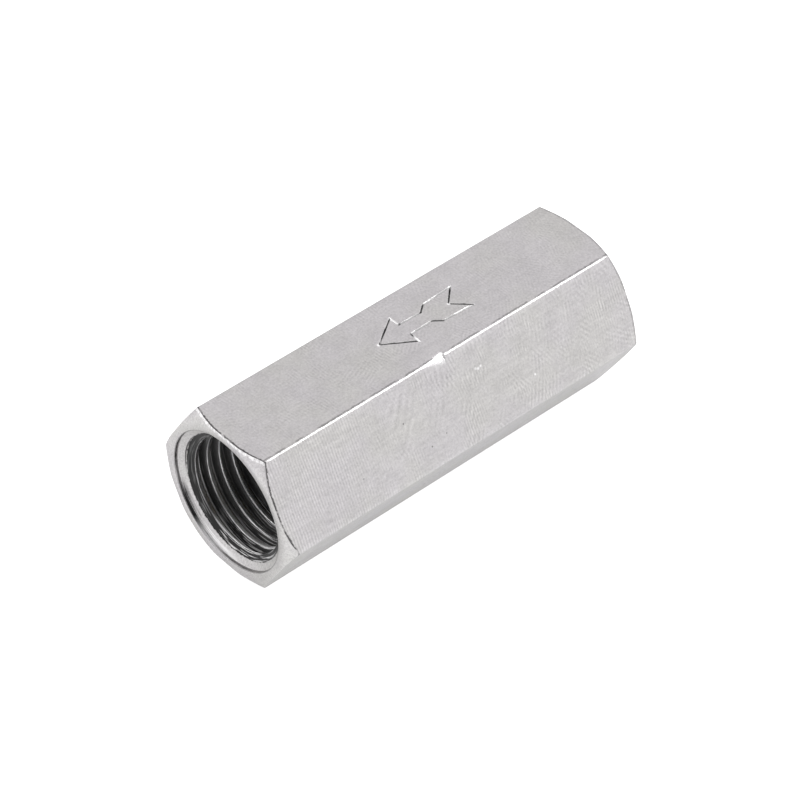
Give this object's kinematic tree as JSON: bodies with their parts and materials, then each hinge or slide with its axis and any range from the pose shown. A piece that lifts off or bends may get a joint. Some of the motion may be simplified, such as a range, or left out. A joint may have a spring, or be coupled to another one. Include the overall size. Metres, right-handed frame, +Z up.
{
  "type": "check valve",
  "caption": "In-line check valve: hexagon metal body with a female thread in each end, flow arrow on top, spring-loaded poppet sliding inside.",
  "frame": {"origin": "middle of the body on the bore axis", "axes": "+X along the bore from the outlet face to the inlet face, so the fluid flows towards -X; +Z up through the flat that carries the flow arrow; the body rests on the opposite flat"},
  "size_m": [0.0462, 0.0194, 0.017],
  "materials": {
    "nickel_plate": "satin nickel plating over machined brass",
    "turned_steel": "turned stainless steel",
    "spring_steel": "drawn stainless wire and stamped spring steel",
    "bare_brass": "turned brass, unplated",
    "black_rubber": "matt nitrile rubber",
    "bearing_plastic": "natural fluoropolymer"
  },
  "bodies": {
    "housing": {"hex_body": "nickel_plate", "seat_ring": "turned_steel", "seat_o_ring": "black_rubber", "spring_guide": "bare_brass", "guide_bush": "bearing_plastic", "retaining_ring": "spring_steel", "closing_spring": "spring_steel"},
    "poppet_group": {"poppet": "bare_brass", "poppet_seal": "black_rubber", "seal_washer": "turned_steel", "poppet_nut": "turned_steel"}
  },
  "joints": [
    {"name": "poppet_lift", "type": "slide", "parent": "housing", "child": "poppet_group", "axis": [-1, 0, 0], "range_m": [0, 0.003], "stiffness_N_per_m": 250, "springref_m": -0.002, "deforming": ["closing_spring"]}
  ]
}
